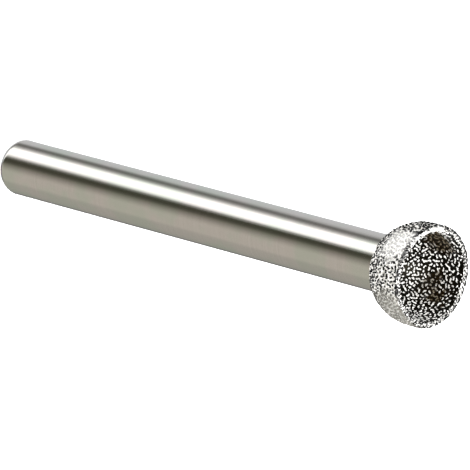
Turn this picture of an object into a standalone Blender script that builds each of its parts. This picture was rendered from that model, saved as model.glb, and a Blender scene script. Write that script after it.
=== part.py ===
"""Diamond grinding bit with a hollow ball-shaped head on a plain round shank.

The bit stands on the rear end of its shank: +Z runs along its axis from the
rear face to the grinding rim, and the origin is the centre of the rear face.
Units are metres.
"""
import math
import random

import bmesh
import bpy
from mathutils import Vector

MM = 0.001

# Driving dimensions
OVERALL_LENGTH = 61.6 * MM      # rear face of the shank to the grinding rim
SHANK_DIAMETER = 6.0 * MM
REAR_CHAMFER_DEPTH = 0.35 * MM  # taken off the shank's radius at the rear face
REAR_CHAMFER_LENGTH = 0.6 * MM  # along the shank
HEAD_DIAMETER = 10.12 * MM      # steel cup, before it is coated
CUP_WALL = 0.32 * MM            # steel wall of the cup
COLLAR_LENGTH = 1.44 * MM       # straight part between the ball centre and the rim
RIM_EDGE = 0.05 * MM            # chamfer on both edges of the steel rim

PLATING_THICKNESS = 0.13 * MM   # nickel and the buried part of the grit
PLATING_LAP = 0.05 * MM         # length of shank behind the coat's neck that is plated
LAP_THICKNESS = 0.06 * MM       # plating at its edge on the shank
BOND_GAP = 0.015 * MM           # clearance between the steel and the plating
COAT_RIM_EDGE = 0.1 * MM        # chamfer on both edges of the coated rim
GRIT_LOW = 0.04 * MM            # least and most that a grit point stands proud
GRIT_HIGH = 0.13 * MM
GRIT_PITCH = 0.5 * MM           # spacing of the grit points along the profile
GRIT_JITTER = 0.22              # sideways shift of a point, in pitches
GRIT_SEED = 23
FLAT_END = 0.99                 # a face whose normal rises this steeply carries no grit

SEGMENTS = 60                   # facets round every turned surface
ARC_STEP = math.radians(7.5)    # facets along the steel's arcs

# Sizes that follow from the driving dimensions
SHANK_RADIUS = SHANK_DIAMETER / 2
HEAD_RADIUS = HEAD_DIAMETER / 2
HOLLOW_RADIUS = HEAD_RADIUS - CUP_WALL
COAT_GROWTH = BOND_GAP + PLATING_THICKNESS
STEEL_RIM_Z = OVERALL_LENGTH - COAT_GROWTH
BALL_CENTRE_Z = OVERALL_LENGTH - COLLAR_LENGTH


def arc(radius, start, end, count):
    """Points (r, z) on the ball of this radius, by angle from straight down."""
    points = []
    for step in range(count + 1):
        angle = start + (end - start) * step / count
        points.append((radius * math.sin(angle), BALL_CENTRE_Z - radius * math.cos(angle)))
    return points


def arc_steps(radius, start, end, pitch):
    return max(2, round(radius * abs(end - start) / pitch))


def neck_angle(ball_radius, neck_radius):
    """Angle from straight down at which a ball meets a coaxial cylinder."""
    return math.asin(neck_radius / ball_radius)


def line(start, end, pitch):
    """Points between two (r, z) points, without the first one."""
    (r0, z0), (r1, z1) = start, end
    count = max(1, round(math.hypot(r1 - r0, z1 - z0) / pitch))
    return [(r0 + (r1 - r0) * i / count, z0 + (z1 - z0) * i / count) for i in range(1, count + 1)]


def steel_outside(clearance=0.0):
    """Outline of the steel head from the neck to the rim, moved out by a clearance."""
    radius = HEAD_RADIUS + clearance
    start = neck_angle(radius, SHANK_RADIUS + clearance)
    steps = arc_steps(radius, start, math.pi / 2, HEAD_RADIUS * ARC_STEP)
    rim_z = STEEL_RIM_Z + clearance
    return arc(radius, start, math.pi / 2, steps) + [(radius, rim_z - RIM_EDGE), (radius - RIM_EDGE, rim_z)]


def steel_inside(clearance=0.0):
    """Outline of the steel hollow from the rim to the axis, moved in by a clearance."""
    radius = HOLLOW_RADIUS - clearance
    steps = arc_steps(radius, math.pi / 2, 0, HEAD_RADIUS * ARC_STEP)
    rim_z = STEEL_RIM_Z + clearance
    return [(radius + RIM_EDGE, rim_z), (radius, rim_z - RIM_EDGE)] + arc(radius, math.pi / 2, 0, steps)


def blank_profile():
    shank = [(0, 0), (SHANK_RADIUS - REAR_CHAMFER_DEPTH, 0), (SHANK_RADIUS, REAR_CHAMFER_LENGTH)]
    return shank + steel_outside() + steel_inside()


def coat_profile():
    """Outline of the coat: its steel side out to the lap, its outer face, rim and hollow."""
    outer_radius = HEAD_RADIUS + COAT_GROWTH
    inner_radius = HOLLOW_RADIUS - COAT_GROWTH
    steel_side = steel_outside(BOND_GAP) + steel_inside(BOND_GAP)
    neck = neck_angle(outer_radius, SHANK_RADIUS + COAT_GROWTH)
    lap_z = BALL_CENTRE_Z - outer_radius * math.cos(neck) - PLATING_LAP
    lap_radius = SHANK_RADIUS + BOND_GAP
    outer_steps = arc_steps(outer_radius, neck, math.pi / 2, GRIT_PITCH)
    hollow_steps = arc_steps(inner_radius, math.pi / 2, 0, GRIT_PITCH)
    edge_z = OVERALL_LENGTH - COAT_RIM_EDGE

    points = list(reversed(steel_side))
    points += [(lap_radius, lap_z), (lap_radius + LAP_THICKNESS, lap_z)]
    points += arc(outer_radius, neck, math.pi / 2, outer_steps)
    points += line(points[-1], (outer_radius, edge_z), GRIT_PITCH)
    points += [(outer_radius - COAT_RIM_EDGE, OVERALL_LENGTH), (inner_radius + COAT_RIM_EDGE, OVERALL_LENGTH)]
    points += [(inner_radius, edge_z)]
    points += line(points[-1], (inner_radius, BALL_CENTRE_Z), GRIT_PITCH)
    points += arc(inner_radius, math.pi / 2, 0, hollow_steps)[1:]
    return points


def spun(profile):
    """Turn an outline that starts and ends on the Z axis into one closed surface."""
    bm = bmesh.new()
    verts = [bm.verts.new((r, 0, z)) for r, z in profile]
    edges = [bm.edges.new(pair) for pair in zip(verts, verts[1:])]
    bmesh.ops.spin(bm, geom=verts + edges, cent=(0, 0, 0), axis=(0, 0, 1),
                   angle=math.tau, steps=SEGMENTS, use_merge=True)
    bmesh.ops.remove_doubles(bm, verts=bm.verts, dist=BOND_GAP / 10)
    bmesh.ops.recalc_face_normals(bm, faces=bm.faces)
    return bm


def is_gritty(face):
    """True for the coat's outer face and hollow, False for its rim, flat ends and steel side."""
    centre = face.calc_center_median()
    if centre.z > OVERALL_LENGTH - COAT_RIM_EDGE or abs(face.normal.z) > FLAT_END:
        return False
    from_ball = Vector((centre.x, centre.y, min(centre.z - BALL_CENTRE_Z, 0)))
    outside_the_wall = from_ball.length > (HEAD_RADIUS + HOLLOW_RADIUS) / 2
    faces_away = face.normal.dot(from_ball) > 0
    return outside_the_wall == faces_away


def raise_grit(bm):
    """Raise each gritty face to a point at a seeded height, lower on the small faces."""
    chance = random.Random(GRIT_SEED)
    for face in [face for face in bm.faces if is_gritty(face)]:
        normal = face.normal.copy()
        side = face.verts[1].co - face.verts[0].co
        next_side = face.verts[2].co - face.verts[1].co
        smallness = min(1, face.calc_area() / GRIT_PITCH ** 2)
        point = bmesh.ops.poke(bm, faces=[face])["verts"][0]
        point.co += normal * smallness * chance.uniform(GRIT_LOW, GRIT_HIGH)
        point.co += side * chance.uniform(-GRIT_JITTER, GRIT_JITTER)
        point.co += next_side * chance.uniform(-GRIT_JITTER, GRIT_JITTER)


def material(name, colour, metallic, roughness):
    made = bpy.data.materials.new(name)
    made.use_nodes = True
    shader = made.node_tree.nodes["Principled BSDF"]
    shader.inputs["Base Color"].default_value = (*colour, 1)
    shader.inputs["Metallic"].default_value = metallic
    shader.inputs["Roughness"].default_value = roughness
    made.diffuse_color = (*colour, 1)
    return made


def add_object(name, bm, surface, smooth_below):
    mesh = bpy.data.meshes.new(name)
    bm.to_mesh(mesh)
    bm.free()
    mesh.materials.append(surface)
    mesh.shade_smooth()
    mesh.set_sharp_from_angle(angle=smooth_below)
    made = bpy.data.objects.new(name, mesh)
    bpy.context.scene.collection.objects.link(made)
    return made


def make_steel_blank(steel):
    return add_object("steel_blank", spun(blank_profile()), steel, math.radians(20))


def make_diamond_coat(grit):
    bm = spun(coat_profile())
    raise_grit(bm)
    return add_object("diamond_coat", bm, grit, math.radians(5))


def main():
    for old in list(bpy.data.objects):
        bpy.data.objects.remove(old)
    steel = material("ground_steel", (0.52, 0.51, 0.48), 1.0, 0.28)
    grit = material("nickel_bonded_diamond", (0.42, 0.41, 0.38), 0.7, 0.5)
    make_steel_blank(steel)
    make_diamond_coat(grit)


main()
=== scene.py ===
import math
import random

import bpy
import numpy as np
from mathutils import Euler, Matrix, Vector, kdtree


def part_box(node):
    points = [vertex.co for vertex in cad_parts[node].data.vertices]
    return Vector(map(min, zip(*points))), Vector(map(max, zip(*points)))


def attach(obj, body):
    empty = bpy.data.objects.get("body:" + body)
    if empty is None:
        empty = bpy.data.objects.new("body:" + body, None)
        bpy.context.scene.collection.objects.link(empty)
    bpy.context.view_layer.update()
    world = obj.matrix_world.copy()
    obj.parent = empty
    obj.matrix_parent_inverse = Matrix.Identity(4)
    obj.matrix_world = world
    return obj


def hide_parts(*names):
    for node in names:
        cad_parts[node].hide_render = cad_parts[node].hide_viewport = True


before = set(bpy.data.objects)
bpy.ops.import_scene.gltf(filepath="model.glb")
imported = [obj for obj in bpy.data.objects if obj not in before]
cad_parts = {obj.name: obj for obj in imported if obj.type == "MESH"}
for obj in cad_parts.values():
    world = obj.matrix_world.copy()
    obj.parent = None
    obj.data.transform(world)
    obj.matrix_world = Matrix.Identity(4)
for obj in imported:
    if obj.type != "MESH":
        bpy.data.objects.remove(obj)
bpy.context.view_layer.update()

mm = 0.001
print("scene: frame loaded")

# Sizes read from the frame
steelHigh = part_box("steel_blank")[1]
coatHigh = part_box("diamond_coat")[1]
overallLength = coatHigh.z
steelRimHeight = steelHigh.z

# Sizes that the blank, the plating and the grit share
bit = {
    "shankRadius": 3.0 * mm,
    "steelHeadRadius": 5.06 * mm,
    "steelHollowRadius": 4.74 * mm,
    "collarLength": 1.44 * mm,      # straight part between the ball centre and the rim
    "bondGap": 0.015 * mm,
}
ballHeight = overallLength - bit["collarLength"]
ballCentre = (0, 0, ballHeight)


# Camera, set from the photograph: the rear face's centre, its scale, and the way the axis points
photo = {
    "imageSize": 470,               # pixels
    "focalPixels": 5107,
    "rearCentre": (18.83, 166.18),  # pixel of the centre of the rear face
    "rearScale": 9.239,             # pixels per mm at the rear face
    "axisTilt": 46.45,              # degrees between the bit's axis and the line of sight
    "axisTurn": 15.11,              # degrees that the axis falls to the right in the picture
    "sensor": 36.0,
}


def addCamera(spec):
    cameraData = bpy.data.cameras.new("camera")
    camera = bpy.data.objects.new("camera", cameraData)
    bpy.context.scene.collection.objects.link(camera)
    cameraData.sensor_width = spec["sensor"]
    cameraData.lens = spec["focalPixels"] * spec["sensor"] / spec["imageSize"]
    cameraData.clip_start, cameraData.clip_end = 0.01, 20

    elevation = math.radians(90 - spec["axisTilt"])
    turn = math.radians(spec["axisTurn"])
    forward = Vector((0, math.cos(elevation), -math.sin(elevation)))
    plainRight = Vector((1, 0, 0))
    plainUp = plainRight.cross(forward)
    right = math.cos(turn) * plainUp - math.sin(turn) * plainRight
    up = -math.sin(turn) * plainUp - math.cos(turn) * plainRight

    half = spec["imageSize"] / 2
    scale = spec["rearScale"] / mm
    across = (spec["rearCentre"][0] - half) / scale
    down = (spec["rearCentre"][1] - half) / scale
    distance = spec["focalPixels"] / scale
    place = up * down - right * across - forward * distance
    facing = Matrix((right, up, -forward)).transposed().to_4x4()
    camera.matrix_world = Matrix.Translation(place) @ facing
    bpy.context.scene.camera = camera


addCamera(photo)
print("scene: camera placed")


# Modelling helpers

def deselectAll():
    bpy.ops.object.select_all(action="DESELECT")


def arcPoints(radius, start, end, count):
    # points (r, z) on the ball, by angle from straight down
    angles = [start + (end - start) * i / count for i in range(count + 1)]
    return [(radius * math.sin(a), ballHeight - radius * math.cos(a)) for a in angles]


def straightPoints(start, end, count):
    # points from start to end, without the first one
    (r0, z0), (r1, z1) = start, end
    return [(r0 + (r1 - r0) * i / count, z0 + (z1 - z0) * i / count) for i in range(1, count + 1)]


def turnedPiece(name, outline, segments):
    # a disc is extruded ring by ring along the outline, which starts and ends near the axis
    deselectAll()
    (radius, height), rest = outline[0], outline[1:]
    bpy.ops.mesh.primitive_circle_add(
        vertices=segments, radius=radius, fill_type="NGON", location=(0, 0, height))
    piece = bpy.context.object
    piece.name = name
    bpy.ops.object.transform_apply(location=True, rotation=True, scale=True)
    bpy.ops.object.mode_set(mode="EDIT")
    bpy.ops.mesh.select_all(action="SELECT")
    for nextRadius, nextHeight in rest:
        bpy.ops.mesh.extrude_region_move(
            TRANSFORM_OT_translate={"value": (0, 0, nextHeight - height)})
        share = nextRadius / radius
        bpy.ops.transform.resize(value=(share, share, 1), center_override=(0, 0, nextHeight))
        radius, height = nextRadius, nextHeight
    bpy.ops.mesh.poke()
    bpy.ops.mesh.select_all(action="SELECT")
    bpy.ops.mesh.normals_make_consistent(inside=False)
    bpy.ops.object.mode_set(mode="OBJECT")
    piece.data.name = name
    return piece


def finishPiece(piece, material, node=None):
    piece.data.materials.clear()
    piece.data.materials.append(material)
    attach(piece, "root")
    if node:
        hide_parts(node)


# Materials

def newMaterial(name):
    material = bpy.data.materials.new(name)
    material.use_nodes = True
    nodes, links = material.node_tree.nodes, material.node_tree.links
    return material, nodes, links, nodes["Principled BSDF"]


def setRamp(ramp, stops):
    elements = ramp.color_ramp.elements
    while len(elements) > 1:
        elements.remove(elements[-1])
    elements[0].position, elements[0].color = stops[0][0], (*stops[0][1], 1)
    for position, colour in stops[1:]:
        elements.new(position).color = (*colour, 1)


def grey(level):
    return (level, level, level)


def calculate(nodes, links, operation, *values):
    # a Math node: each value is a number or a node's output
    node = nodes.new("ShaderNodeMath")
    node.operation = operation
    for socket, value in zip(node.inputs, values):
        if isinstance(value, (int, float)):
            socket.default_value = value
        else:
            links.new(value, socket)
    return node.outputs[0]


def makeGroup(name, inputs, outputs):
    group = bpy.data.node_groups.new(name, "ShaderNodeTree")
    for label, kind, value in inputs:
        socket = group.interface.new_socket(label, in_out="INPUT", socket_type=kind)
        socket.default_value = value
    for label, kind in outputs:
        group.interface.new_socket(label, in_out="OUTPUT", socket_type=kind)
    given, out = group.nodes.new("NodeGroupInput"), group.nodes.new("NodeGroupOutput")
    return group, group.nodes, group.links, given, out


def cloudsGroup():
    # slow blotches of tone, with an edge that can be soft or hard
    group, nodes, links, given, out = makeGroup(
        "clouds",
        [("Scale", "NodeSocketFloat", 300), ("From", "NodeSocketFloat", 0.4),
         ("To", "NodeSocketFloat", 0.6)],
        [("Mask", "NodeSocketFloat")])
    coords = nodes.new("ShaderNodeTexCoord")
    noise = nodes.new("ShaderNodeTexNoise")
    noise.inputs["Detail"].default_value = 2
    edge = nodes.new("ShaderNodeMapRange")
    edge.interpolation_type = "SMOOTHSTEP"
    links.new(coords.outputs["Object"], noise.inputs["Vector"])
    links.new(given.outputs["Scale"], noise.inputs["Scale"])
    links.new(noise.outputs["Fac"], edge.inputs["Value"])
    links.new(given.outputs["From"], edge.inputs["From Min"])
    links.new(given.outputs["To"], edge.inputs["From Max"])
    links.new(edge.outputs["Result"], out.inputs["Mask"])
    return group


raggedScale = 900        # of the noise that frays a patch's edge, per metre


def patchGroup():
    # a patch with a ragged edge round one direction from the ball's centre
    group, nodes, links, given, out = makeGroup(
        "patch",
        [("Centre", "NodeSocketVector", (0, 0, 0)), ("Towards", "NodeSocketVector", (1, 0, 0)),
         ("Edge", "NodeSocketFloat", 0.5), ("Softness", "NodeSocketFloat", 0.2),
         ("Raggedness", "NodeSocketFloat", 0.3), ("Strength", "NodeSocketFloat", 1)],
        [("Mask", "NodeSocketFloat")])
    coords = nodes.new("ShaderNodeTexCoord")
    offset = nodes.new("ShaderNodeVectorMath")
    offset.operation = "SUBTRACT"
    unit = nodes.new("ShaderNodeVectorMath")
    unit.operation = "NORMALIZE"
    dot = nodes.new("ShaderNodeVectorMath")
    dot.operation = "DOT_PRODUCT"
    noise = nodes.new("ShaderNodeTexNoise")
    noise.inputs["Scale"].default_value = raggedScale
    edge = nodes.new("ShaderNodeMapRange")
    edge.interpolation_type = "SMOOTHSTEP"
    links.new(coords.outputs["Object"], offset.inputs[0])
    links.new(given.outputs["Centre"], offset.inputs[1])
    links.new(offset.outputs[0], unit.inputs[0])
    links.new(unit.outputs[0], dot.inputs[0])
    links.new(given.outputs["Towards"], dot.inputs[1])
    links.new(coords.outputs["Object"], noise.inputs["Vector"])
    centred = calculate(nodes, links, "SUBTRACT", noise.outputs["Fac"], 0.5)
    ragged = calculate(
        nodes, links, "MULTIPLY_ADD", centred, given.outputs["Raggedness"], dot.outputs["Value"])
    past = calculate(nodes, links, "ADD", given.outputs["Edge"], given.outputs["Softness"])
    links.new(ragged, edge.inputs["Value"])
    links.new(given.outputs["Edge"], edge.inputs["From Min"])
    links.new(past, edge.inputs["From Max"])
    links.new(given.outputs["Strength"], edge.inputs["To Max"])
    links.new(edge.outputs["Result"], out.inputs["Mask"])
    return group


def fineGrainGroup():
    # a fine rough skin, as a normal
    group, nodes, links, given, out = makeGroup(
        "fineGrain",
        [("Scale", "NodeSocketFloat", 8000), ("Strength", "NodeSocketFloat", 0.3),
         ("Height", "NodeSocketFloat", 0.02 * mm)],
        [("Normal", "NodeSocketVector")])
    coords = nodes.new("ShaderNodeTexCoord")
    noise = nodes.new("ShaderNodeTexNoise")
    noise.inputs["Detail"].default_value = 3
    bump = nodes.new("ShaderNodeBump")
    links.new(coords.outputs["Object"], noise.inputs["Vector"])
    links.new(given.outputs["Scale"], noise.inputs["Scale"])
    links.new(noise.outputs["Fac"], bump.inputs["Height"])
    links.new(given.outputs["Strength"], bump.inputs["Strength"])
    links.new(given.outputs["Height"], bump.inputs["Distance"])
    links.new(bump.outputs["Normal"], out.inputs["Normal"])
    return group


clouds = cloudsGroup()
patch = patchGroup()
fineGrain = fineGrainGroup()


def placeGroup(nodes, group, values):
    node = nodes.new("ShaderNodeGroup")
    node.node_tree = group
    for label, value in values.items():
        node.inputs[label].default_value = value
    return node


def mixColours(nodes, links, mask, first, second, blend="MIX"):
    # first and second are a colour or a node's output
    mix = nodes.new("ShaderNodeMix")
    mix.data_type = "RGBA"
    mix.blend_type = blend
    links.new(mask, mix.inputs["Factor"])
    for socket, colour in ((mix.inputs[6], first), (mix.inputs[7], second)):
        if isinstance(colour, tuple):
            socket.default_value = (*colour, 1)
        else:
            links.new(colour, socket)
    return mix.outputs[2]


steelFinish = {
    "light": (0.69, 0.655, 0.63),
    "dark": (0.645, 0.61, 0.58),
    "olive": (0.61, 0.63, 0.57),
    "dull": (0.5, 0.5, 0.5),
    "roughness": (0.11, 0.15),
    "lineScale": (200, 200, 14000),   # grinding lines round the shank, per metre
    "toneSpan": (0.3, 0.7),         # of the lines' noise, from dark to light
    "blotches": {"Scale": 260, "From": 0.4, "To": 0.62},
    "lineBump": 0.02,
    "lineHeight": 0.001 * mm,
    "waveScale": (700, 700, 90),    # slow waviness of the ground surface, per metre
    "waveBump": 0.25,
    "waveHeight": 0.002 * mm,
    "rearEnd": (0.75 * mm, 0.45 * mm),   # the rear edge is duller up to here
    "rearDullness": 0.5,
}


def groundSteel(spec):
    material, nodes, links, shader = newMaterial("groundSteel")
    coords = nodes.new("ShaderNodeTexCoord")

    def stretchedNoise(scale, detail):
        mapping = nodes.new("ShaderNodeMapping")
        mapping.inputs["Scale"].default_value = scale
        noise = nodes.new("ShaderNodeTexNoise")
        noise.inputs["Scale"].default_value = 1
        noise.inputs["Detail"].default_value = detail
        links.new(coords.outputs["Object"], mapping.inputs["Vector"])
        links.new(mapping.outputs["Vector"], noise.inputs["Vector"])
        return noise.outputs["Fac"]

    lines = stretchedNoise(spec["lineScale"], 3)
    waves = stretchedNoise(spec["waveScale"], 1)
    tone = nodes.new("ShaderNodeValToRGB")
    darkAt, lightAt = spec["toneSpan"]
    setRamp(tone, [(darkAt, spec["dark"]), (lightAt, spec["light"])])
    blotches = placeGroup(nodes, clouds, spec["blotches"])
    rough = nodes.new("ShaderNodeMapRange")
    rough.inputs["To Min"].default_value, rough.inputs["To Max"].default_value = spec["roughness"]
    height = nodes.new("ShaderNodeSeparateXYZ")
    rear = nodes.new("ShaderNodeMapRange")
    rear.inputs["From Min"].default_value, rear.inputs["From Max"].default_value = spec["rearEnd"]
    rear.inputs["To Max"].default_value = spec["rearDullness"]
    waveBump = nodes.new("ShaderNodeBump")
    waveBump.inputs["Strength"].default_value = spec["waveBump"]
    waveBump.inputs["Distance"].default_value = spec["waveHeight"]
    lineBump = nodes.new("ShaderNodeBump")
    lineBump.inputs["Strength"].default_value = spec["lineBump"]
    lineBump.inputs["Distance"].default_value = spec["lineHeight"]
    links.new(coords.outputs["Object"], height.inputs[0])
    links.new(height.outputs["Z"], rear.inputs["Value"])
    links.new(lines, tone.inputs["Fac"])
    links.new(lines, rough.inputs["Value"])
    links.new(waves, waveBump.inputs["Height"])
    links.new(lines, lineBump.inputs["Height"])
    links.new(waveBump.outputs["Normal"], lineBump.inputs["Normal"])
    colour = mixColours(nodes, links, blotches.outputs["Mask"], tone.outputs["Color"], spec["olive"])
    colour = mixColours(nodes, links, rear.outputs["Result"], colour, spec["dull"])
    links.new(colour, shader.inputs["Base Color"])
    links.new(rough.outputs["Result"], shader.inputs["Roughness"])
    links.new(lineBump.outputs["Normal"], shader.inputs["Normal"])
    shader.inputs["Metallic"].default_value = 1
    return material


# painted reflection, low on the outside of the ball: the grit and the plating are mixed towards a
# darker grey, which stands for the warm grey band that the ball mirrors there
reflectionPatch = {"Centre": ballCentre, "Towards": (0.9, -0.43, -0.05), "Edge": 0.74,
               "Softness": 0.22, "Raggedness": 0.35, "Strength": 0.62}

# painted highlight, high on the other side: the grit is mixed towards pale here
highlightPatch = {"Centre": ballCentre, "Towards": (-0.44, -0.89, -0.08), "Edge": 0.9,
             "Softness": 0.1, "Raggedness": 0.3, "Strength": 0.5}

# painted shade in the hollow, tinted brown and olive: the way to each patch from the ball's centre, and
# its edge;
# the last one is broad and faint
hollowShades = [
    {"Centre": ballCentre, "Towards": (-0.81, 0.55, -0.2), "Edge": 0.87, "Softness": 0.1,
     "Strength": 0.95},
    {"Centre": ballCentre, "Towards": (0.12, 0.9, -0.41), "Edge": 0.94, "Softness": 0.04,
     "Raggedness": 0.2, "Strength": 0.85},
    {"Centre": ballCentre, "Towards": (0.44, 0.88, -0.16), "Edge": 0.955, "Softness": 0.03,
     "Raggedness": 0.2, "Strength": 0.95},
    {"Centre": ballCentre, "Towards": (0.25, 0.91, -0.33), "Edge": 0.82, "Softness": 0.12,
     "Raggedness": 0.1, "Strength": 0.3},
]
shadeTint = (0.08, 0.067, 0.038)        # painted shade: multiplies the colour of the grains
shadeBrown = (0.015, 0.0075, 0.001)    # added, so that what is black in the painted shade turns brown


def shadeMask(nodes, links):
    # the painted shade's mask: the strongest of the hollow's patches at each point
    mask = 0
    for values in hollowShades:
        place = placeGroup(nodes, patch, values).outputs["Mask"]
        mask = calculate(nodes, links, "MAXIMUM", mask, place)
    return mask


platingFinish = {
    "roughness": 0.3,
    # the one nickel in three tones: near black in the hollow is painted shade, and the rim is set a
    # little darker than the outside against the stronger light from above
    "litAndShadedTones": {"outside": (0.75, 0.74, 0.71), "rim": (0.66, 0.65, 0.62),
              "hollow": (0.006, 0.0055, 0.004)},
    "rimZone": (0.25, 0.75),        # from and to which value of the attribute it is rim
    # painted reflection: the plating's grey in the smooth patch
    "reflectedGrey": (0.35, 0.34, 0.305),
    "skin": {"Scale": 7000, "Strength": 0.35, "Height": 0.03 * mm},
}


def platedNickel(spec):
    # the attribute zone is 0 outside, 0.5 on the rim and 1 in the hollow
    material, nodes, links, shader = newMaterial("platedNickel")
    zone = nodes.new("ShaderNodeAttribute")
    zone.attribute_name = "zone"
    litAndShadedTones, (rimFrom, rimTo) = spec["litAndShadedTones"], spec["rimZone"]
    # painted shade: the zone picks the plating's tone, near black in the hollow
    ramp = nodes.new("ShaderNodeValToRGB")
    setRamp(ramp, [(0, litAndShadedTones["outside"]), (rimFrom, litAndShadedTones["rim"]), (rimTo, litAndShadedTones["hollow"])])
    ramp.color_ramp.interpolation = "CONSTANT"
    # painted reflection: the outside's plating turns grey in the smooth patch
    reflectedGrey = placeGroup(nodes, patch, reflectionPatch)
    links.new(zone.outputs["Fac"], ramp.inputs["Fac"])
    outside = calculate(nodes, links, "LESS_THAN", zone.outputs["Fac"], rimFrom)
    patched = calculate(nodes, links, "MULTIPLY", outside, reflectedGrey.outputs["Mask"])
    colour = mixColours(nodes, links, patched, ramp.outputs["Color"], spec["reflectedGrey"])
    links.new(colour, shader.inputs["Base Color"])
    skin = placeGroup(nodes, fineGrain, spec["skin"])
    links.new(skin.outputs["Normal"], shader.inputs["Normal"])
    shader.inputs["Metallic"].default_value = 1
    shader.inputs["Roughness"].default_value = spec["roughness"]
    return material


# colour of a grain by its tone, 0 to 1. The black and pale grains are partly the grit's mixed tones and
# partly painted shade, painted dark reflections and painted glints. The three copies differ by how
# light falls: the hollow's, near black for most grains, is painted shade, and the rim's pale grains are
# set darker against the stronger light from above
gritFinish = {
    "gritOutside": {
        "stops": [(0.0, grey(0.004)), (0.4, grey(0.01)), (0.49, grey(0.1)), (0.52, (0.88, 0.865, 0.83)),
                  (1.0, (0.98, 0.965, 0.93))],
        "metallic": 0.05, "roughness": 0.28,
    },
    "gritRim": {
        "stops": [(0.0, grey(0.004)), (0.45, grey(0.01)), (0.49, grey(0.1)), (0.51, (0.7, 0.69, 0.67)),
                  (1.0, (0.9, 0.89, 0.87))],
        "metallic": 0.4, "roughness": 0.35,
    },
    # painted shade: the hollow's copy, whose ground grains are near black
    "gritHollow": {
        "stops": [(0.0, (0.003, 0.0025, 0.001)), (0.45, (0.008, 0.007, 0.003)), (0.49, grey(0.03)),
                  (0.51, (0.92, 0.91, 0.88)), (1.0, (0.99, 0.98, 0.95))],
        "metallic": 0.05, "roughness": 0.25,
    },
}
reflectedGreyGrit = (0.28, 0.27, 0.24)      # painted reflection: the grey that the grit turns in the smooth patch
# painted highlight: the pale that the grit turns in the highlight patch
highlightGrit = (0.9, 0.89, 0.87)
gritSkin = {"Scale": 9000, "Strength": 0.2, "Height": 0.02 * mm}
darkSheen = 0.05                     # specular level of the grit, low so that dark grains stay dark


def diamondGrit(name, spec):
    material, nodes, links, shader = newMaterial(name)
    tone = nodes.new("ShaderNodeAttribute")
    tone.attribute_name = "grainTone"
    ramp = nodes.new("ShaderNodeValToRGB")
    setRamp(ramp, spec["stops"])
    links.new(tone.outputs["Fac"], ramp.inputs["Fac"])
    colour = ramp.outputs["Color"]
    if name == "gritOutside":
        # painted reflection: the grit turns grey in the smooth patch
        reflectedGrey = placeGroup(nodes, patch, reflectionPatch)
        # painted highlight: the grit turns pale high on the other side
        highlighted = placeGroup(nodes, patch, highlightPatch)
        colour = mixColours(nodes, links, reflectedGrey.outputs["Mask"], colour, reflectedGreyGrit)
        colour = mixColours(nodes, links, highlighted.outputs["Mask"], colour, highlightGrit)
    if name == "gritHollow":
        # painted shade: the hollow's grit is darkened and browned in patches
        shaded = shadeMask(nodes, links)
        colour = mixColours(nodes, links, shaded, colour, shadeTint, blend="MULTIPLY")
        colour = mixColours(nodes, links, shaded, colour, shadeBrown, blend="ADD")
    links.new(colour, shader.inputs["Base Color"])
    skin = placeGroup(nodes, fineGrain, gritSkin)
    links.new(skin.outputs["Normal"], shader.inputs["Normal"])
    shader.inputs["Metallic"].default_value = spec["metallic"]
    shader.inputs["Roughness"].default_value = spec["roughness"]
    shader.inputs["Specular IOR Level"].default_value = darkSheen
    return material


steelMaterial = groundSteel(steelFinish)
platingMaterial = platedNickel(platingFinish)
gritMaterials = {name: diamondGrit(name, spec) for name, spec in gritFinish.items()}
print("scene: materials made")


# Steel blank: the shank and the cup under the plating, turned in one piece
blank = {
    "segments": 192,
    "rearChamferDepth": 0.35 * mm,
    "rearChamferLength": 0.6 * mm,
    "rearShoulder": 0.12 * mm,      # rounding where the chamfer meets the shank
    "edgeBreak": 0.05 * mm,         # small chamfers on the steel rim
    "outerArcSteps": 12,
    "hollowArcSteps": 16,
    "poleRadius": 0.05 * mm,        # last ring before the middle of the hollow
    "smoothBelow": 35,              # degrees
}


def blankOutline(spec):
    neck = math.asin(bit["shankRadius"] / bit["steelHeadRadius"])
    head, hollow, edge = bit["steelHeadRadius"], bit["steelHollowRadius"], spec["edgeBreak"]
    poleAngle = math.asin(spec["poleRadius"] / hollow)
    shank, depth, length = bit["shankRadius"], spec["rearChamferDepth"], spec["rearChamferLength"]
    shoulder = spec["rearShoulder"]
    points = [(shank - depth, 0), (shank - depth * shoulder / length, length - shoulder)]
    points += [(shank, length + shoulder), (shank, length + 3 * shoulder)]
    points += arcPoints(head, neck, math.pi / 2, spec["outerArcSteps"])
    points += [(head, steelRimHeight - edge), (head - edge, steelRimHeight)]
    points += [(hollow + edge, steelRimHeight), (hollow, steelRimHeight - edge)]
    points += arcPoints(hollow, math.pi / 2, poleAngle, spec["hollowArcSteps"])
    return points


def makeBlank(spec):
    piece = turnedPiece("steelBlank", blankOutline(spec), spec["segments"])
    deselectAll()
    piece.select_set(True)
    bpy.ops.object.shade_smooth_by_angle(angle=math.radians(spec["smoothBelow"]))
    finishPiece(piece, steelMaterial, node="steel_blank")


makeBlank(blank)
print("scene: steel blank made")


# Plating: the nickel that holds the grit, a thin lumpy skin on the head
plating = {
    "segments": 320,
    "thickness": 0.12 * mm,
    "lap": 0.05 * mm,               # length of shank behind the neck that is plated
    "lapThickness": 0.04 * mm,      # at its edge on the shank
    "rimEdge": 0.08 * mm,
    "rimCorner": 0.3,               # share of the edge that is left at its middle point
    "rimFlat": 0.9,                 # a face of the rim rises at least this steeply
    "pitch": 0.1 * mm,              # rings along the outline
    "steelSideSteps": 14,
    "poleRadius": 0.05 * mm,
    "lumpScale": 0.3 * mm,
    "lumpHeight": 0.05 * mm,
}


def platingNeck(spec):
    # where the plated ball meets the plated shank: the angle, and the height of the edge behind it
    growth = bit["bondGap"] + spec["thickness"]
    outer = bit["steelHeadRadius"] + growth
    neck = math.asin((bit["shankRadius"] + growth) / outer)
    return neck, ballHeight - outer * math.cos(neck) - spec["lap"]


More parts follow.
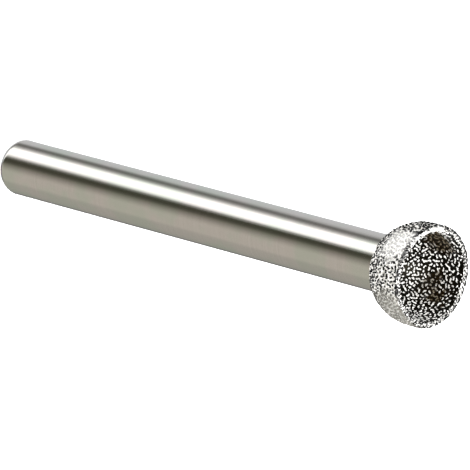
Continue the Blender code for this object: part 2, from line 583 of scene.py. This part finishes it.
def platingSurface(spec):
    # the outline that shows: from the edge on the shank, over the rim, to the hollow's middle
    growth = bit["bondGap"] + spec["thickness"]
    outer = bit["steelHeadRadius"] + growth
    inner = bit["steelHollowRadius"] - growth
    edge = spec["rimEdge"]
    corner = edge * spec["rimCorner"]
    top = steelRimHeight + growth
    neck, edgeHeight = platingNeck(spec)
    lapPoint = (bit["shankRadius"] + bit["bondGap"] + spec["lapThickness"], edgeHeight)
    neckPoint = arcPoints(outer, neck, math.pi / 2, 1)[0]

    def count(length):
        return max(1, round(length / spec["pitch"]))

    points = [lapPoint]
    points += straightPoints(lapPoint, neckPoint, count(neckPoint[1] - lapPoint[1]))
    points += arcPoints(outer, neck, math.pi / 2, count(outer * (math.pi / 2 - neck)))[1:]
    points += straightPoints(points[-1], (outer, top - edge), count(bit["collarLength"]))
    points += [(outer - corner, top - corner), (outer - edge, top)]
    points += straightPoints(points[-1], (inner + edge, top), count(outer - inner))
    points += [(inner + corner, top - corner), (inner, top - edge)]
    points += straightPoints(points[-1], (inner, ballHeight), count(bit["collarLength"]))
    poleAngle = math.asin(spec["poleRadius"] / inner)
    points += arcPoints(inner, math.pi / 2, poleAngle, count(inner * math.pi / 2))[1:]
    return points


def platingSteelSide(spec):
    # from the middle of the hollow, against the steel, out to the edge on the shank
    gap, steps = bit["bondGap"], spec["steelSideSteps"]
    hollow, head = bit["steelHollowRadius"] - gap, bit["steelHeadRadius"] + gap
    neck = math.asin((bit["shankRadius"] + gap) / head)
    rim = steelRimHeight + gap
    points = arcPoints(hollow, math.asin(spec["poleRadius"] / hollow), math.pi / 2, steps)
    points += [(hollow, rim), (head, rim)]
    points += arcPoints(head, math.pi / 2, neck, steps)
    points += [(bit["shankRadius"] + gap, platingNeck(spec)[1])]
    return points


def markZones(piece, spec):
    # 0 outside, 0.5 on the flat of the rim and 1 in the hollow
    middle = (bit["steelHeadRadius"] + bit["steelHollowRadius"]) / 2
    values = []
    for face in piece.data.polygons:
        x, y, z = face.center
        if z > steelRimHeight and face.normal.z > spec["rimFlat"]:
            values.append(0.5)
        else:
            fromBall = Vector((x, y, min(z - ballHeight, 0))).length
            values.append(0.0 if fromBall > middle else 1.0)
    zone = piece.data.attributes.new("zone", "FLOAT", "FACE")
    zone.data.foreach_set("value", values)


def makePlating(spec):
    shown = platingSurface(spec)
    hidden = platingSteelSide(spec)
    piece = turnedPiece("nickelPlating", hidden + shown, spec["segments"])
    group = piece.vertex_groups.new(name="shown")
    firstShown = len(hidden) * spec["segments"]
    group.add(range(firstShown, len(piece.data.vertices)), 1, "ADD")
    lumps = bpy.data.textures.new("platingLumps", "CLOUDS")
    lumps.noise_scale = spec["lumpScale"]
    lumps.noise_depth = 2
    deselectAll()
    piece.select_set(True)
    bpy.context.view_layer.objects.active = piece
    displace = piece.modifiers.new("lumps", "DISPLACE")
    displace.texture = lumps
    displace.texture_coords = "LOCAL"
    displace.strength = spec["lumpHeight"]
    displace.mid_level = 0.5
    displace.vertex_group = "shown"
    bpy.ops.object.modifier_apply(modifier="lumps")
    bpy.data.textures.remove(lumps)
    bpy.ops.object.shade_smooth()
    markZones(piece, spec)
    finishPiece(piece, platingMaterial, node="diamond_coat")
    return shown


platingOutline = makePlating(plating)
print("scene: plating made")


# Grit: cut crystals, modelled once each and scattered over the plating in two kinds, pale and dark
grit = {
    "seed": 7,
    "shapes": 8,
    "cutsPerShape": 3,
    "cutDepth": (0.62, 0.9),        # distance of a cut from the middle, in half sizes
    "mergeAngle": 6,                # faces that meet flatter than this become one, in degrees
    "tries": 4,                     # spots thrown for each square of the spacing
    "stretch": (0.8, 1.1),
    "lean": 0.35,                   # how much the crystals' outer faces lean, in radians
    "chainStep": 0.155 * mm,        # most that two grains of a chain lie apart
    "chainTurn": 0.35,              # least cosine of a chain's turn at a grain
    "chainDepth": 6 * mm,           # how far below the rim chainGap has its second value
    # Marks are the dark grains outside and on the rim, and the pale ones in the hollow. The others
    # are the ground. Marks lie in winding chains of chainLength grains, and chainGap keeps two
    # chains apart, at the rim and at chainDepth. Spacing is the least distance between two grains,
    # and stand is how far a grain's middle stands out. In the band rimShadeBand next to the rim,
    # rimShadeShare of the grains are dark: painted shade along the rim's edge. The key plain is a
    # stretch in degrees from +X and a height above the neck, up to which plainShare of the marks
    # are left out: a painted highlight on the rim, and a painted reflection of white on the outside
    # near the neck.
    "gritOutside": {
        "spacing": 0.11 * mm, "paleMarks": False, "chainLength": (2, 7),
        "chainGap": (0.27 * mm, 0.27 * mm),
        "groundSize": (0.12 * mm, 0.155 * mm), "groundStand": (-0.05 * mm, -0.03 * mm),
        "markSize": (0.165 * mm, 0.195 * mm), "markStand": (0, 0.02 * mm), "markStretch": 1.3,
        "rimShadeBand": 0.16 * mm, "rimShadeShare": 0.7,
        "plain": (-180, 180, 0.9 * mm), "plainShare": 0.9,
    },
    "gritRim": {
        "spacing": 0.11 * mm, "paleMarks": False, "chainLength": (1, 4),
        "chainGap": (0.205 * mm, 0.205 * mm),
        "groundSize": (0.12 * mm, 0.15 * mm), "groundStand": (-0.05 * mm, -0.03 * mm),
        "markSize": (0.15 * mm, 0.18 * mm), "markStand": (-0.02 * mm, 0), "markStretch": 1.2,
        "rimShadeBand": 0, "rimShadeShare": 0,
        "plain": (-180, -120, 9 * mm), "plainShare": 0.75,
    },
    "gritHollow": {
        "spacing": 0.11 * mm, "paleMarks": True, "chainLength": (4, 14),
        "chainGap": (0.335 * mm, 0.255 * mm),
        "groundSize": (0.12 * mm, 0.15 * mm), "groundStand": (-0.06 * mm, -0.04 * mm),
        "markSize": (0.13 * mm, 0.155 * mm), "markStand": (-0.02 * mm, 0), "markStretch": 1.4,
        "rimShadeBand": 0.2 * mm, "rimShadeShare": 0.9,
        "plain": (0, 0, 0), "plainShare": 0,
    },
}


def makeCrystal(spec, chance, number):
    deselectAll()
    bpy.ops.mesh.primitive_cube_add(size=1)
    crystal = bpy.context.object
    crystal.name = f"crystal{number}"
    bpy.ops.object.mode_set(mode="EDIT")
    for _ in range(spec["cutsPerShape"]):
        direction = Vector([chance.gauss(0, 1) for _ in range(3)]).normalized()
        bpy.ops.mesh.select_all(action="SELECT")
        bpy.ops.mesh.bisect(plane_co=direction * chance.uniform(*spec["cutDepth"]) * 0.5,
                            plane_no=direction, use_fill=True, clear_outer=True)
    bpy.ops.mesh.select_all(action="SELECT")
    bpy.ops.mesh.dissolve_limited(angle_limit=math.radians(spec["mergeAngle"]))
    bpy.ops.mesh.quads_convert_to_tris()
    bpy.ops.object.mode_set(mode="OBJECT")
    mesh = crystal.data
    points = np.array([v.co for v in mesh.vertices])
    faces = np.array([p.vertices for p in mesh.polygons])
    bpy.data.objects.remove(crystal)
    return points / np.abs(points).max(), faces


def farApart(spots, spacing):
    # keeps each spot, in turn, that lies no nearer than the spacing to those kept before
    kept, taken = [], {}
    for spot in spots:
        place = spot[0]
        cell = tuple(math.floor(c / spacing) for c in place)
        near = [other for dx in (-1, 0, 1) for dy in (-1, 0, 1) for dz in (-1, 0, 1)
                for other in taken.get((cell[0] + dx, cell[1] + dy, cell[2] + dz), ())]
        if all((place - other).length >= spacing for other in near):
            taken.setdefault(cell, []).append(place)
            kept.append(spot)
    return kept


def throwSpots(outline, spacing, tries, chance):
    # seeded spots, each with the way the turned surface faces there
    spans = [(*start, *end) for start, end in zip(outline, outline[1:])]
    weights = [math.hypot(r1 - r0, z1 - z0) * (r0 + r1) / 2 for r0, z0, r1, z1 in spans]
    wanted = int(math.tau * sum(weights) / spacing ** 2 * tries)
    spots = []
    for r0, z0, r1, z1 in chance.choices(spans, weights, k=wanted):
        along, turn = chance.random(), chance.uniform(0, math.tau)
        radius, height = r0 + (r1 - r0) * along, z0 + (z1 - z0) * along
        x, y = math.cos(turn), math.sin(turn)
        place = Vector((radius * x, radius * y, height))
        outwards = Vector(((z1 - z0) * x, (z1 - z0) * y, r0 - r1)).normalized()
        spots.append((place, outwards))
    return farApart(spots, spacing)


def chainedMarks(spots, grain, spec, chance):
    # the marks lie in short winding chains of grains, with a gap between one chain and the next
    places = [place for place, _ in spots]
    tree = kdtree.KDTree(len(places))
    for index, place in enumerate(places):
        tree.insert(place, index)
    tree.balance()
    marks, taken = set(), set()
    atRim, atFloor = grain["chainGap"]
    for start in chance.sample(range(len(places)), len(places)):
        if start in taken:
            continue
        chain, heading = [start], Vector((0, 0, 0))
        for _ in range(chance.randint(*grain["chainLength"]) - 1):
            last = places[chain[-1]]
            ways = [(index, (place - last).normalized())
                    for place, index, _ in tree.find_range(last, spec["chainStep"])
                    if index not in taken and index not in chain]
            ways = [way for way in ways if way[1].dot(heading) >= heading.length * spec["chainTurn"]]
            if not ways:
                break
            index, heading = chance.choice(ways)
            chain.append(index)
        marks.update(chain)
        for index in chain:
            depth = (overallLength - places[index].z) / spec["chainDepth"]
            gap = atRim + (atFloor - atRim) * depth
            taken.update(found[1] for found in tree.find_range(places[index], gap))
    return [index in marks for index in range(len(places))]


def scatterGrit(name, outline, spec, crystals, chance):
    grain = spec[name]
    spots = throwSpots(outline, grain["spacing"], spec["tries"], chance)
    marks = chainedMarks(spots, grain, spec, chance)
    plainFrom, plainTo, plainHeight = grain["plain"]
    neckHeight = platingNeck(plating)[1]
    points, faces, tones = [], [], []
    base = 0
    for (place, outwards), inChain in zip(spots, marks):
        isMark = inChain
        # painted shade: most grains next to the rim are made dark
        if overallLength - place.z < grain["rimShadeBand"] and chance.random() < grain["rimShadeShare"]:
            isMark = not grain["paleMarks"]
        # painted highlight on the rim and painted reflection of white near the neck: dark marks are
        # left out there
        bearing = math.degrees(math.atan2(place.y, place.x))
        inHighlight = plainFrom < bearing < plainTo and place.z < neckHeight + plainHeight
        if inHighlight and chance.random() < grain["plainShare"]:
            isMark = False
        kind = "mark" if isMark else "ground"
        isPale = isMark == grain["paleMarks"]
        shape, shapeFaces = chance.choice(crystals)
        leanX, leanY = chance.gauss(0, spec["lean"]), chance.gauss(0, spec["lean"])
        lean = Euler((leanX, leanY, chance.uniform(0, math.tau)))
        turn = outwards.to_track_quat("Z", "Y").to_matrix() @ lean.to_matrix()
        size = chance.uniform(*grain[kind + "Size"]) / 2
        stretch = [chance.uniform(*spec["stretch"]) for _ in range(3)]
        if isMark:
            stretch[0] *= chance.uniform(1, grain["markStretch"])
        middle = place + outwards * chance.uniform(*grain[kind + "Stand"])
        points.append((shape * stretch * size) @ np.array(turn).T + np.array(middle))
        faces.append(shapeFaces + base)
        tones += [chance.uniform(0, 0.5) + (0.5 if isPale else 0)] * len(shapeFaces)
        base += len(shape)
    mesh = bpy.data.meshes.new(name)
    mesh.from_pydata(np.concatenate(points).tolist(), [], np.concatenate(faces).tolist())
    grainTone = mesh.attributes.new("grainTone", "FLOAT", "FACE")
    grainTone.data.foreach_set("value", tones)
    mesh.update()
    piece = bpy.data.objects.new(name, mesh)
    bpy.context.scene.collection.objects.link(piece)
    finishPiece(piece, gritMaterials[name])
    print(f"scene: {name} has {len(points)} grains and {len(tones)} triangles")


def makeGrit(spec, outline):
    chance = random.Random(spec["seed"])
    crystals = [makeCrystal(spec, chance, i) for i in range(spec["shapes"])]
    top = max(z for _, z in outline)
    rimStart = next(i for i, (_, z) in enumerate(outline) if z == top)
    rimEnd = max(i for i, (_, z) in enumerate(outline) if z == top)
    scatterGrit("gritOutside", outline[:rimStart + 1], spec, crystals, chance)
    scatterGrit("gritRim", outline[rimStart:rimEnd + 1], spec, crystals, chance)
    scatterGrit("gritHollow", outline[rimEnd:], spec, crystals, chance)


makeGrit(grit, platingOutline)
print("scene: grit scattered")


# Floor, light cards and lamps
studio = {
    "floorSize": 8.0,
    "floorColour": grey(0.85),
    "floorRoughness": 0.9,
    "floorGlow": 0.47,
    "cardRadius": 12.0,
    "cardHeight": -0.3,             # the floor is clear to reflections, as glass over a graded card
    "worldLevel": 0.6,
    # reflection card round the foot: brightness by direction, in degrees from -Y towards +X;
    # farther out, where the upper end of the shank mirrors it, the bright strip lies a few degrees on
    "stripFrom": -112,
    "stripTo": -27,
    "stripTurn": 6.5,
    "nearRing": 0.3,
    "farRing": 0.385,
    "cardStops": [
        (-180, (0.6, 0.61, 0.62)), (-160, (0.66, 0.675, 0.69)), (-117, (0.68, 0.695, 0.71)),
        (-109, (0.48, 0.49, 0.49)), (-103, (0.22, 0.22, 0.215)), (-94, (0.2, 0.2, 0.195)),
        (-86, (0.4, 0.4, 0.39)), (-77, (0.85, 0.85, 0.85)), (-70, (1.8, 1.8, 1.8)),
        (-42, (1.8, 1.8, 1.8)), (-36, (1.4, 1.4, 1.4)), (-30, (0.62, 0.62, 0.6)),
        (-24, (0.18, 0.18, 0.16)), (-18, (0.075, 0.075, 0.055)), (-9, (0.07, 0.07, 0.05)),
        (-1, (0.13, 0.125, 0.1)), (5, (0.24, 0.23, 0.19)), (13, (0.36, 0.34, 0.3)),
        (23, (0.5, 0.475, 0.42)), (33, (0.6, 0.57, 0.51)), (72, (0.6, 0.57, 0.51)),
        (84, (0.5, 0.485, 0.435)), (118, (0.45, 0.44, 0.395)), (138, (0.37, 0.37, 0.335)),
        (152, (0.22, 0.22, 0.21)), (168, (0.24, 0.24, 0.24)), (180, (0.6, 0.61, 0.62)),
    ],
    "lampAim": (0, 0, 0.045),
    "lamps": {                      # place and size in metres, power in watts
        "keyLamp": {"place": (0.02, -0.435, 0.42), "size": 0.45, "power": 2.3},
        "fillLamp": {"place": (0.28, 0.32, 0.35), "size": 0.3, "power": 3.6},
        "topLamp": {"place": (0.02, -0.14, 0.62), "size": 0.25, "power": 3.4},
    },
}


def seenDirectly(nodes, links):
    # 1 for the rays in which the camera, metal and glass see the backdrop, and 0 for all others
    path = nodes.new("ShaderNodeLightPath")
    seen = calculate(
        nodes, links, "MAXIMUM", path.outputs["Is Camera Ray"], path.outputs["Is Glossy Ray"])
    return calculate(nodes, links, "MAXIMUM", seen, path.outputs["Is Transmission Ray"])


def addFloor(spec):
    bpy.ops.mesh.primitive_plane_add(size=spec["floorSize"], location=(0, 0, 0))
    floor = bpy.context.object
    floor.name = "floor"
    material, nodes, links, shader = newMaterial("paleFloor")
    shader.inputs["Base Color"].default_value = (*spec["floorColour"], 1)
    shader.inputs["Roughness"].default_value = spec["floorRoughness"]
    glow = nodes.new("ShaderNodeEmission")
    strength = calculate(nodes, links, "MULTIPLY", seenDirectly(nodes, links), spec["floorGlow"])
    add = nodes.new("ShaderNodeAddShader")
    links.new(strength, glow.inputs["Strength"])
    links.new(shader.outputs["BSDF"], add.inputs[0])
    links.new(glow.outputs["Emission"], add.inputs[1])
    links.new(add.outputs["Shader"], nodes["Material Output"].inputs["Surface"])
    floor.data.materials.append(material)
    floor.visible_glossy = False


def cardRamp(ramp, spec, stripTurn):
    # the card's stops as shares of a full circle, with the bright strip turned on
    stops = []
    for angle, colour in spec["cardStops"]:
        if spec["stripFrom"] < angle < spec["stripTo"]:
            angle += stripTurn
        stops.append(((angle + 180) / 360, colour))
    setRamp(ramp, stops)


def addReflectionCard(spec):
    bpy.ops.mesh.primitive_circle_add(
        vertices=64, radius=spec["cardRadius"], fill_type="NGON", location=(0, 0, spec["cardHeight"]))
    card = bpy.context.object
    card.name = "reflectionCard"
    card.visible_camera = False
    card.visible_diffuse = False
    card.visible_transmission = False
    card.visible_shadow = False
    material, nodes, links, _ = newMaterial("reflectionCard")
    coords = nodes.new("ShaderNodeTexCoord")
    mapping = nodes.new("ShaderNodeMapping")
    mapping.inputs["Rotation"].default_value = (0, 0, math.radians(90))   # angles start at -Y
    turn = nodes.new("ShaderNodeTexGradient")
    turn.gradient_type = "RADIAL"
    near = nodes.new("ShaderNodeValToRGB")
    far = nodes.new("ShaderNodeValToRGB")
    cardRamp(near, spec, 0)
    cardRamp(far, spec, spec["stripTurn"])
    out = nodes.new("ShaderNodeVectorMath")
    out.operation = "LENGTH"
    share = nodes.new("ShaderNodeMapRange")
    share.inputs["From Min"].default_value = spec["nearRing"]
    share.inputs["From Max"].default_value = spec["farRing"]
    glow = nodes.new("ShaderNodeEmission")
    links.new(coords.outputs["Object"], out.inputs[0])
    links.new(out.outputs["Value"], share.inputs["Value"])
    links.new(coords.outputs["Object"], mapping.inputs["Vector"])
    links.new(mapping.outputs["Vector"], turn.inputs["Vector"])
    links.new(turn.outputs["Fac"], near.inputs["Fac"])
    links.new(turn.outputs["Fac"], far.inputs["Fac"])
    colour = mixColours(
        nodes, links, share.outputs["Result"], near.outputs["Color"], far.outputs["Color"])
    links.new(colour, glow.inputs["Color"])
    links.new(glow.outputs["Emission"], nodes["Material Output"].inputs["Surface"])
    card.data.materials.append(material)


def addLamps(spec):
    for name, values in spec["lamps"].items():
        lampData = bpy.data.lights.new(name, "AREA")
        lampData.shape, lampData.size, lampData.energy = "SQUARE", values["size"], values["power"]
        lamp = bpy.data.objects.new(name, lampData)
        bpy.context.scene.collection.objects.link(lamp)
        lamp.location = values["place"]
        way = Vector(spec["lampAim"]) - Vector(values["place"])
        lamp.rotation_euler = way.to_track_quat("-Z", "Y").to_euler()


def addWorld(spec):
    world = bpy.data.worlds.new("studio")
    bpy.context.scene.world = world
    world.use_nodes = True
    nodes, links = world.node_tree.nodes, world.node_tree.links
    background = nodes["Background"]
    level = nodes.new("ShaderNodeMapRange")
    level.inputs["To Min"].default_value = spec["worldLevel"]
    level.inputs["To Max"].default_value = 1
    links.new(seenDirectly(nodes, links), level.inputs["Value"])
    links.new(level.outputs["Result"], background.inputs["Strength"])
    background.inputs["Color"].default_value = (1, 1, 1, 1)


addFloor(studio)
addReflectionCard(studio)
addLamps(studio)
addWorld(studio)
bpy.context.scene.view_settings.view_transform = "Standard"
print("scene: studio lit")
